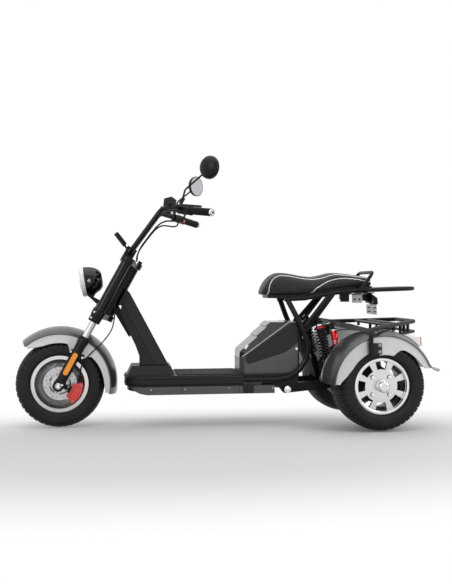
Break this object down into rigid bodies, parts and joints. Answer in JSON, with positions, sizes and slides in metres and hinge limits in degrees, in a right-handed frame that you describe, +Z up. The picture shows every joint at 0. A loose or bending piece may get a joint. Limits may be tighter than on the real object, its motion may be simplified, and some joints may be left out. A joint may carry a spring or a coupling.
{
  "type": "electric tricycle scooter",
  "caption": "Electric tricycle scooter: wide tyres, raked telescopic fork with swept bar, flat foot deck, battery box under a long padded saddle, tube racks over the rear axle.",
  "frame": {"origin": "on the ground under the middle of the overall length and width", "axes": "+X to the rear, +Y to the rider's right, +Z up"},
  "size_m": [2.0629, 0.8985, 1.311],
  "materials": {
    "tyre": "moulded rubber with road tread",
    "rim_alloy": "polished",
    "disc_steel": "ground",
    "axle_steel": "zinc plated",
    "black_metal": "satin black paint",
    "fork_chrome": "polished tubes with dark sleeves",
    "grip_rubber": "moulded",
    "control_plastic": "fine grain",
    "mirror_glass": "silvered",
    "lamp_shell": "gloss black",
    "lamp_lens": "clear over a bright reflector",
    "fender_grey": "metallic grey with lighter skirts",
    "caliper_red": "gloss red paint",
    "hose_black": "smooth",
    "amber": "clear amber",
    "dark_plastic": "moulded, fine grain",
    "mat_rubber": "ribbed",
    "panel_plastic": "satin moulded panels",
    "saddle_leather": "grained with pale piping",
    "zinc": "zinc plated strip",
    "tail_lens": "pale box with red lens",
    "gear_grey": "cast housings, painted",
    "shock_black": "black with red reservoirs"
  },
  "bodies": {
    "chassis": {"head_tube": "black_metal", "column": "dark_plastic", "deck": "dark_plastic", "deck_mat": "mat_rubber", "side_skirts": "dark_plastic", "battery_box": "panel_plastic", "box_cover": "panel_plastic", "rear_frame": "black_metal", "saddle": "saddle_leather", "grab_rail": "black_metal", "rack_brackets": "zinc", "lower_rack": "black_metal", "rack_tray": "fender_grey", "rear_left_fender": "fender_grey", "rear_right_fender": "fender_grey", "tail_lamps": "tail_lens", "rear_axle": "gear_grey", "swing_arm": "black_metal", "shocks": "shock_black", "shock_springs": "shock_black", "inner_mudguard": "dark_plastic"},
    "steering": {"front_axle": "axle_steel", "fork_legs": "black_metal", "stanchions": "fork_chrome", "lower_yoke": "black_metal", "upper_yoke": "black_metal", "steering_stem": "axle_steel", "bar_clamp": "black_metal", "handlebar": "black_metal", "grips": "grip_rubber", "bar_controls": "control_plastic", "mirrors": "control_plastic", "mirror_glasses": "mirror_glass", "display": "control_plastic", "headlamp": "lamp_shell", "headlamp_lens": "lamp_lens", "headlamp_bracket": "black_metal", "front_fender": "fender_grey", "caliper": "caliper_red", "brake_hose": "hose_black", "bar_cables": "hose_black", "fork_reflectors": "amber"},
    "front_wheel": {"front_tyre": "tyre", "front_rim": "rim_alloy", "brake_disc": "disc_steel"},
    "rear_left_wheel": {"rear_left_tyre": "tyre", "rear_left_rim": "rim_alloy"},
    "rear_right_wheel": {"rear_right_tyre": "tyre", "rear_right_rim": "rim_alloy"}
  },
  "joints": [
    {"name": "steering_turn", "type": "hinge", "parent": "chassis", "child": "steering", "pos_m": [-0.78374, 0, 0.2003], "axis": [0.4772, 0, 0.8788], "range_deg": [-30, 30]},
    {"name": "front_wheel_spin", "type": "hinge", "parent": "steering", "child": "front_wheel", "pos_m": [-0.8145, 0, 0.217], "axis": [0, 1, 0], "continuous": true},
    {"name": "rear_left_spin", "type": "hinge", "parent": "chassis", "child": "rear_left_wheel", "pos_m": [0.7255, -0.303, 0.217], "axis": [0, 1, 0], "continuous": true},
    {"name": "rear_right_spin", "type": "hinge", "parent": "chassis", "child": "rear_right_wheel", "pos_m": [0.7255, 0.303, 0.217], "axis": [0, 1, 0], "continuous": true}
  ]
}
